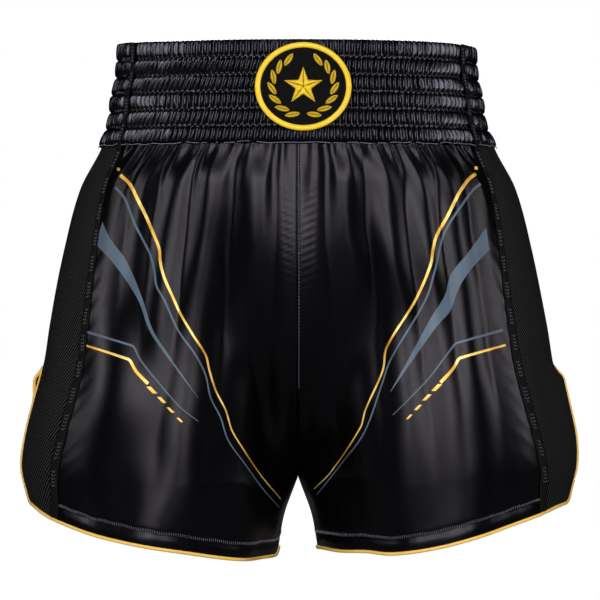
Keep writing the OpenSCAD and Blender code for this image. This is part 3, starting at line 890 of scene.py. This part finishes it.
# ---------------------------------------------------------------- binding
def edge_path(step=2.2):
    """s and drop along one edge from the top of the slit to the inner end of the hem."""
    low = SIDE_LENGTH - CORNER
    slit = np.arange(SLIT_TOP + 1, low, step)
    s_slit = 0.5 - slit_s(slit)
    turn = np.linspace(4, 86, 9) * np.pi / 180
    s_turn = 0.5 - slit_s(np.array(SIDE_LENGTH)) - (CORNER - CORNER * np.cos(turn)) / LEG_GIRTH
    drop_turn = low + CORNER * np.sin(turn)
    s_hem = np.linspace(s_turn[-1] - step / LEG_GIRTH, 0.0, int(0.47 * LEG_GIRTH / step))
    drop_hem = hem_drop(s_hem)
    return np.concatenate([s_slit, s_turn, s_hem]), np.concatenate([slit, drop_turn, drop_hem])


for side, side_name in SIDE_NAMES.items():
    s_edge, drop_edge = edge_path()
    front_run = cloth(side, s_edge, drop_edge)
    back_run = cloth(side, 1 - s_edge, drop_edge)
    path = np.concatenate([front_run, back_run[::-1][1:]])
    radii = BINDING / 2 * (1 + 0.04 * ripple(np.arange(len(path)) * 2.0, np.zeros(len(path)), 30, 91))
    binding = tube_object(f"binding_{side_name}", path, radii, GOLD_BINDING)
    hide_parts(f"{side_name}_leg_binding")


# ---------------------------------------------------------------- seam allowances and label
ALLOWANCE_FROM, ALLOWANCE_WIDTH = 0.003, 11.0
INSEAM_HALF_S = 0.0105
INSIDE = -1.0


def strip(name, points, across, drop, mat, node_name):
    """A narrow piece of cloth; across and drop are its points' places on the cut cloth."""
    flat = np.stack(np.broadcast_arrays(across, drop), -1)
    made = grid_object(name, points, flat, mat)
    thicken(made, 0.4, 0.0)
    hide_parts(node_name)
    return made


centre_allowances, inseam_allowances = {}, {}
for face in ("front", "back"):
    drops = np.arange(BAND + 1, RISE - 50, 2.5)[:, None]
    s = np.linspace(ALLOWANCE_FROM, ALLOWANCE_FROM + ALLOWANCE_WIDTH / HALF_GIRTH, 6)[None, :]
    if face == "back":
        s = 1 - s
    points = cloth(1, s, drops, INSIDE)
    centre_allowances[face] = strip(f"centre_allowance_{face}", points, s * HALF_GIRTH, drops,
                                    SATIN, f"{face}_seam_allowance")

for side, side_name in SIDE_NAMES.items():
    drops = np.arange(RISE + 6, float(hem_drop(np.array(0.0))) - 3, 2.0)[:, None]
    s = np.linspace(-INSEAM_HALF_S, INSEAM_HALF_S, 6)[None, :]
    points = cloth(side, np.abs(s), drops, INSIDE)
    points[..., 1] *= np.where(s < 0, -1, 1)
    inseam_allowances[side] = strip(f"inseam_allowance_{side_name}", points, s * HALF_GIRTH, drops,
                                    SATIN, f"{side_name}_inseam_allowance")


def on_band(x, drop, offset, back=False):
    """A point at x on the front or back of the waistband, standing offset mm out of the skin."""
    x, drop = np.broadcast_arrays(np.asarray(x, float), np.asarray(drop, float))
    s = np.arcsin(np.abs(x) / along(HALF_WIDTHS, drop)) / np.pi
    s = np.clip(1 - s if back else s, 0, 1)
    point = skin(s, drop) + facing(skin, s, drop) * np.asarray(offset)[..., None]
    point[..., 0] *= np.where(x < 0, -1, 1)
    return point


x, drop = np.meshgrid(np.linspace(-14, 14, 15), np.linspace(46, 78, 17))
points = on_band(x, drop, -CASING_FACE - 0.9 + 0.12 * ripple(x, drop, 20, 5), back=True)
label = strip("size_label_cloth", points, x, drop, LABEL, "size_label")


# ---------------------------------------------------------------- patch
PATCH_BASE = 4.9
RIM = 2.2
BORDER_STITCHES = 150
STAR_TIP, STAR_NOTCH = 15.5, 6.3
LAUREL_RADIUS, LEAVES, LEAF_TURN, LEAF_LEAN = 23.5, 7, 22, 62
LEAF_REACH, LEAF_WIDTH = 5.6, 2.1


def on_patch(across, down, offset):
    """A point on the patch, across and down from its middle, standing offset mm out of it."""
    return on_band(PATCH_SHIFT + across, PATCH_DROP + down, PATCH_BASE + np.asarray(offset))


def patch_backing():
    """The round twill cloth, a square grid drawn in to an oval."""
    cells = 72
    v, u = np.meshgrid(np.linspace(-1, 1, cells), np.linspace(-1, 1, cells), indexing="ij")
    half_w, half_h = PATCH_WIDTH / 2 - RIM, PATCH_HEIGHT / 2 - RIM
    across, down = half_w * u * np.sqrt(1 - v * v / 2), half_h * v * np.sqrt(1 - u * u / 2)
    ribs = 0.06 * np.cos(2 * np.pi * (across + down) / 1.1)
    points = on_patch(across, down, 0.9 + ribs)
    backing = grid_object("patch_cloth", points, np.stack([across, down], -1), TWILL,
                          flip=True)
    thicken(backing, 0.8)
    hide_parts("patch_backing")
    return backing


def patch_border():
    """An overlocked edge: thread wound round the rim, each turn a small ridge."""
    turn = np.linspace(0, 2 * np.pi, BORDER_STITCHES * 4, endpoint=False)[None, :]
    section = np.linspace(-0.15, 1.15, 12)[:, None] * np.pi
    ridge = 0.16 * np.cos(turn * BORDER_STITCHES + 1.2 * np.cos(section))
    half = RIM + ridge
    reach_w = PATCH_WIDTH / 2 - RIM + half * np.cos(section)
    reach_h = PATCH_HEIGHT / 2 - RIM + half * np.cos(section)
    height = 0.35 + (1.5 + ridge) * np.sin(section)
    points = on_patch(reach_w * np.cos(turn), reach_h * np.sin(turn), height)
    flat = np.stack([turn * 36 + 0 * section, section * 2 + 0 * turn], -1)
    border = grid_object("patch_edge", points, flat, GOLD_THREAD, loop=True, flip=True)
    thicken(border, 0.3)
    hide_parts("patch_border")


def embroidery(name, lines, node_name, radius=0.32):
    """A motif filled with parallel threads, each from one edge of the motif to the other."""
    starts, ends = (np.array([on_patch(*line[end], 1.25) for line in lines]) for end in (0, 1))
    bow = np.tile([0.0, -0.75, 0.0], (len(lines), 1))
    made = stitch_object(name, starts, ends, radius, GOLD_THREAD, "patch_thread", bow)
    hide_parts(node_name)


def star_lines():
    """Five points, each in two halves whose threads slant from its spine to its edge."""
    lines = []
    for k in range(5):
        tip_angle = 2 * np.pi * k / 5
        tip = STAR_TIP * np.array([np.sin(tip_angle), -np.cos(tip_angle)])
        for half in (-1, 1):
            notch_angle = tip_angle + half * np.pi / 5
            notch = STAR_NOTCH * np.array([np.sin(notch_angle), -np.cos(notch_angle)])
            for t in np.linspace(0.04, 0.97, 27):
                lines.append((tip * (1 - t), tip + (notch - tip) * min(1.0, t * 1.25)))
    return lines


def laurel_lines():
    """Two sprays of pointed leaves, each filled from its rib to both edges."""
    lines = []
    for side in (-1, 1):
        for k in range(LEAVES):
            turn = side * np.radians(180 - LEAF_TURN * (k + 0.9))
            middle = LAUREL_RADIUS * np.array([np.sin(turn), -np.cos(turn)])
            lean = turn - side * np.radians(LEAF_LEAN)
            run = np.array([np.sin(lean), -np.cos(lean)])
            wide = np.array([-run[1], run[0]])
            for t in np.linspace(-0.94, 0.94, 19):
                rib = middle + run * t * LEAF_REACH
                half = LEAF_WIDTH * (1 - t * t)**0.7 + 0.15
                for hand in (-1, 1):
                    lines.append((rib + run * 0.35, rib + wide * hand * half))
    return lines


patch_cloth = patch_backing()
patch_border()
embroidery("patch_star_threads", star_lines(), "patch_star")
embroidery("patch_laurel_threads", laurel_lines(), "patch_laurel", 0.27)


# ---------------------------------------------------------------- printed lines
# The prints are laid out on the front as it is seen, in mm from the centre line and below the top
# edge, and each is cast along the line of sight onto the cloth below it.
def tree_of(obj):
    """A search tree of the object's faces, in metres."""
    corners = np.empty(len(obj.data.vertices) * 3)
    obj.data.vertices.foreach_get("co", corners)
    faces = [tuple(p.vertices) for p in obj.data.polygons]
    return BVHTree.FromPolygons(corners.reshape(-1, 3).tolist(), faces)


EYE = Vector(camera.location)


def cast(bvh, across, down, lift):
    """The point on the cloth seen at a place on the plane of the side seams."""
    target = Vector((across * MM, 0, -down * MM))
    hit, normal, _, _ = bvh.ray_cast(EYE, (target - EYE).normalized())
    if hit is None:
        return None
    if normal.dot(target - EYE) > 0:
        normal = -normal
    return np.array(hit + normal * lift * MM) / MM


def curve_through(points, step=1.6):
    """A smooth run of points, step mm apart, through a few given ones."""
    points = np.asarray(points, float)
    places = lengths_along(points)
    where = np.linspace(0, places[-1], max(2, int(places[-1] / step)))
    return np.stack([along(np.stack([places, values], -1), where) for values in points.T], -1)


def ribbon(name, bvh, edges, mat, lift=0.16, across_cells=3):
    """Ink between two edges, given as equal runs of (across, down) points in the front view."""
    first, second = edges
    rows = []
    for t in np.linspace(0, 1, across_cells + 1):
        rows.append([cast(bvh, *(a * (1 - t) + b * t), lift) for a, b in zip(first, second)])
    good = [j for j in range(len(first)) if all(row[j] is not None for row in rows)]
    points = np.array([[row[j] for j in good] for row in rows])
    run = lengths_along(points[0])
    flat = np.stack(np.broadcast_arrays(run[None, :], np.linspace(0, 3, len(rows))[:, None]), -1)
    return grid_object(name, points, flat, mat)


def line_edges(points, widths):
    """Both edges of a line through points whose width runs from widths[0] to widths[1]."""
    middle = curve_through(points)
    run = unit(np.gradient(middle, axis=0))
    normal = np.stack([-run[:, 1], run[:, 0]], -1)
    half = np.linspace(*widths, len(middle))[:, None] / 2
    return middle - normal * half, middle + normal * half


# Distances from the centre line are given for the wearer's right leg and for the left leg
PRINT_LINES = {
    "gold_upper": (PRINT_GOLD, "print_gold", (2.8, 0.7), {
        -1: [(142, 102), (134, 110), (128, 122), (122, 134), (116, 148), (111, 161), (110, 172),
             (107, 184), (100, 200), (94, 213), (84, 230), (74, 246), (71, 258), (66, 274),
             (58, 290), (53, 306), (46, 318), (30, 342), (14, 361)],
        1: [(142, 101), (136, 106), (129, 116), (124, 126), (119, 136), (111, 150), (108, 161),
            (106, 174), (94, 202), (71, 240), (68, 258), (54, 290), (50, 304), (26, 340), (13, 353)]}),
    "slate_upper": (PRINT_SLATE, "print_slate", (2.0, 0.8), {
        -1: [(146, 112), (139, 120), (131, 140), (124, 154), (118, 166), (115, 178), (113, 191),
             (107, 202), (96, 226), (82, 246), (74, 262), (70, 280), (62, 296), (56, 314),
             (42, 334), (29, 352), (15, 368)],
        1: [(146, 109), (140, 114), (131, 126), (121, 141), (115, 154), (112, 167), (109, 180),
            (102, 202), (74, 250), (67, 270), (53, 308), (34, 334), (15, 358)]}),
    "slate_lower": (PRINT_SLATE, "print_slate", (2.1, 0.6), {
        -1: [(174, 226), (133, 238.5), (131, 240), (126, 250), (110, 270), (94, 288), (80, 299)],
        1: [(164, 226), (127, 236.5), (125, 238), (118, 247), (106, 263), (90, 280), (76, 294)]}),
    "gold_lower": (PRINT_GOLD, "print_gold", (1.6, 2.6), {
        -1: [(174, 237), (135.5, 249.5), (134, 251), (129.5, 259), (120, 269)],
        1: [(166, 238), (129.5, 248.5), (128, 250), (124, 257), (114, 268)]}),
}
WIDE_STRIPES = {
    -1: ([(157, 138), (150, 153), (137, 171), (124, 202), (116, 226), (104, 245), (80, 280)],
         [(163, 156), (150, 170), (139, 184), (127, 204), (119, 226), (108, 243), (80, 280.5)]),
    1: ([(150.5, 144), (136, 164), (122, 182), (117.5, 198), (106.5, 216), (88, 250), (74, 275)],
        [(153, 162), (138, 178), (129, 192), (121.5, 211), (112, 222), (96, 244), (74, 276)]),
}
DASHES = {-1: [(117, 274), (109, 282), (102, 290), (94.5, 298)],
          1: [(111, 272), (103, 280), (96, 288), (89, 295.5)]}
DASH_LENGTH, DASH_WIDTH = 7.6, 2.8
DOTS = {-1: (143.5, 97.5), 1: (142.5, 96.5)}
DOT_WIDTH, DOT_HEIGHT = 2.4, 2.6


def dash_edges(side, k, across, down):
    """Both edges of a slanting dash; each dash is shorter and thinner than the one before."""
    length, width = DASH_LENGTH - 0.9 * k, DASH_WIDTH - 0.45 * k
    run = np.linspace(-0.5, 0.5, 6)[:, None] * np.array([-0.7 * side, 0.72]) * length
    flank = np.array([side * 0.5, 0.0]) * width * 1.3
    middle = np.array([across * side, down]) + run
    return middle - flank, middle + flank


for side, side_name in SIDE_NAMES.items():
    bvh = tree_of(panel_objects["satin", "front", side])
    view = np.array([side, 1])
    for line_name, (mat, slot_name, widths, paths) in PRINT_LINES.items():
        edges = line_edges(np.array(paths[side]) * view, widths)
        ribbon(f"print_{line_name}_{side_name}", bvh, edges, mat)
    edges = [curve_through(np.array(edge) * view) for edge in WIDE_STRIPES[side]]
    count = min(len(edge) for edge in edges)
    edges = [edge[np.linspace(0, len(edge) - 1, count).astype(int)] for edge in edges]
    ribbon(f"print_wide_{side_name}", bvh, edges, PRINT_SLATE, across_cells=6)
    for k, place in enumerate(DASHES[side]):
        ribbon(f"print_dash_{side_name}_{k + 1}", bvh, dash_edges(side, k, *place), PRINT_GOLD,
               across_cells=2)
    upright = np.stack([np.zeros(4), np.linspace(-0.5, 0.5, 4) * DOT_HEIGHT], -1) + DOTS[side]
    edges = [(upright + np.array([hand * DOT_WIDTH / 2, 0])) * view for hand in (-1, 1)]
    ribbon(f"print_dot_{side_name}", bvh, edges, PRINT_GOLD)


# ---------------------------------------------------------------- sewing
HEM_END = 0.392
HEM_STITCH, HEM_STITCH_HEIGHT, HEM_STITCH_LEAN = 1.85, 2.6, 0.0008
OVER = 0.3


def stitches_along(points, length, gap):
    """Starts and ends of stitches of one length, gap mm apart, along a run of points."""
    places = lengths_along(points)
    begin = np.arange(0, places[-1] - length, length + gap)
    return [np.stack([np.interp(where, places, values) for values in points.T], -1)
            for where in (begin, begin + length)]


def hem_stitches(side):
    """A close zigzag seen as short upright threads, above the binding, front and back."""
    starts, ends = [], []
    s = np.linspace(0.004, HEM_END, int(HEM_END * LEG_GIRTH / HEM_STITCH))
    low = hem_drop(s) - HEM_SEAM + 0.5 * ripple(s * HALF_GIRTH, s * 0, 20, 7)
    for place, lean in ((s, HEM_STITCH_LEAN), (1 - s, -HEM_STITCH_LEAN)):
        starts.append(cloth(side, place, low, OVER))
        ends.append(cloth(side, place + lean, low - HEM_STITCH_HEIGHT, OVER))
    return np.concatenate(starts), np.concatenate(ends)


for side, side_name in SIDE_NAMES.items():
    stitch_object(f"hem_stitches_{side_name}", *hem_stitches(side), 0.18, THREAD, "thread")

centre_run = cloth(1, 0.0014, np.linspace(BAND + 1, RISE - 70, 400), 0.1)
stitch_object("centre_seam_stitches", *stitches_along(centre_run, 2.2, 0.6), 0.2, THREAD, "thread")


def round_the_band(drop, lift, length, gap, wander, seed):
    """Starts and ends of stitches right round the waistband at one height."""
    a = np.linspace(-1, 1, 3600)
    arc = a * BAND_ARC
    height = drop + wander * ripple(arc, arc * 0, 12, seed)
    points = band_place(a, height, lift + band_height(arc, np.full_like(arc, drop)) * 0.6)
    return stitches_along(points, length, gap)


# Real channel stitches; their near-black thread also paints the shade line between the channels.
for k in range(1, CHANNELS):
    starts, ends = round_the_band(k * CHANNEL, CASING_FACE, 2.2, 1.1, 0.1, 300 + k)
    stitch_object(f"channel_stitches_{k}", starts, ends, 0.12, CHANNEL_THREAD_SHADE, "thread")
starts, ends = round_the_band(BAND + 0.2, CASING_FACE + 0.9, 2.0, 0.1, 1.1, 320)
stitch_object("waist_seam_stitches", starts, ends, 0.33, THREAD, "thread")


# ---------------------------------------------------------------- elastic bands inside the casing
def elastic_band(index):
    """A ribbed woven strip right round, loose in its channel."""
    a = np.linspace(-1, 1, 600, endpoint=False)[None, :]
    drop = np.linspace(index * CHANNEL + 1.5, (index + 1) * CHANNEL - 1.5, 9)[:, None]
    ribs = 0.08 * np.cos(2 * np.pi * np.arange(9) / 2)[:, None]
    flat = np.stack(np.broadcast_arrays(a * BAND_ARC, drop), axis=-1)
    band = grid_object(f"elastic_{index + 1}", band_place(a, drop, ribs), flat, ELASTIC,
                       loop=True, flip=True)
    thicken(band, 0.9, 0.0)
    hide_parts(f"elastic_band_{index + 1}")
    return band


elastics = [elastic_band(index) for index in range(CHANNELS)]

# ---------------------------------------------------------------- floor, world and lights
FLOOR_Z = -760.0
FLOOR_HALF = 30000.0
WHITE = (1, 1, 1, 1)

floor_mesh = bpy.data.meshes.new("floor")
corners = [(x * MM * FLOOR_HALF, y * MM * FLOOR_HALF, FLOOR_Z * MM)
           for x, y in ((-1, -1), (1, -1), (1, 1), (-1, 1))]
floor_mesh.from_pydata(corners, [], [(0, 1, 2, 3)])
floor = bpy.data.objects.new("floor", floor_mesh)
bpy.context.scene.collection.objects.link(floor)
floor_mat, floor_tree, floor_shader = material("floor", (0.15, 0.15, 0.15), 0.9)
floor_shader.inputs["Emission Color"].default_value = WHITE
floor_path = node(floor_tree, "ShaderNodeLightPath")
floor_tree.links.new(floor_path.outputs["Is Camera Ray"], floor_shader.inputs["Emission Strength"])
floor_mesh.materials.append(floor_mat)

world = bpy.data.worlds.new("studio")
world.use_nodes = True
bpy.context.scene.world = world
tree = world.node_tree
background = tree.nodes["Background"]
background.inputs["Color"].default_value = WHITE
seen = node(tree, "ShaderNodeLightPath").outputs["Is Camera Ray"]
tree.links.new(spread(tree, seen, 0.01, 1.0), background.inputs["Strength"])


def area_light(name, place, target, size, power):
    """A lamp at a place in mm that shines at a target."""
    data = bpy.data.lights.new(name, "AREA")
    data.shape = "RECTANGLE"
    data.size, data.size_y = size[0] * MM, size[1] * MM
    data.energy = power
    light = bpy.data.objects.new(name, data)
    light.location = [c * MM for c in place]
    aim = Vector([(b - a) * MM for a, b in zip(place, target)])
    light.rotation_euler = aim.to_track_quat("-Z", "Y").to_euler()
    light.visible_camera = False
    bpy.context.scene.collection.objects.link(light)


CENTRE = (0, 0, -200)
for hand in (-1, 1):
    area_light("key", (hand * 600, -2600, 500), CENTRE, (700, 1100), 34)
    area_light("side", (hand * 2500, -700, 500), CENTRE, (500, 900), 16)
area_light("back_key", (0, 2600, 900), CENTRE, (1200, 900), 40)

scene = bpy.context.scene
scene.view_settings.view_transform = "Standard"
scene.view_settings.look = "None"
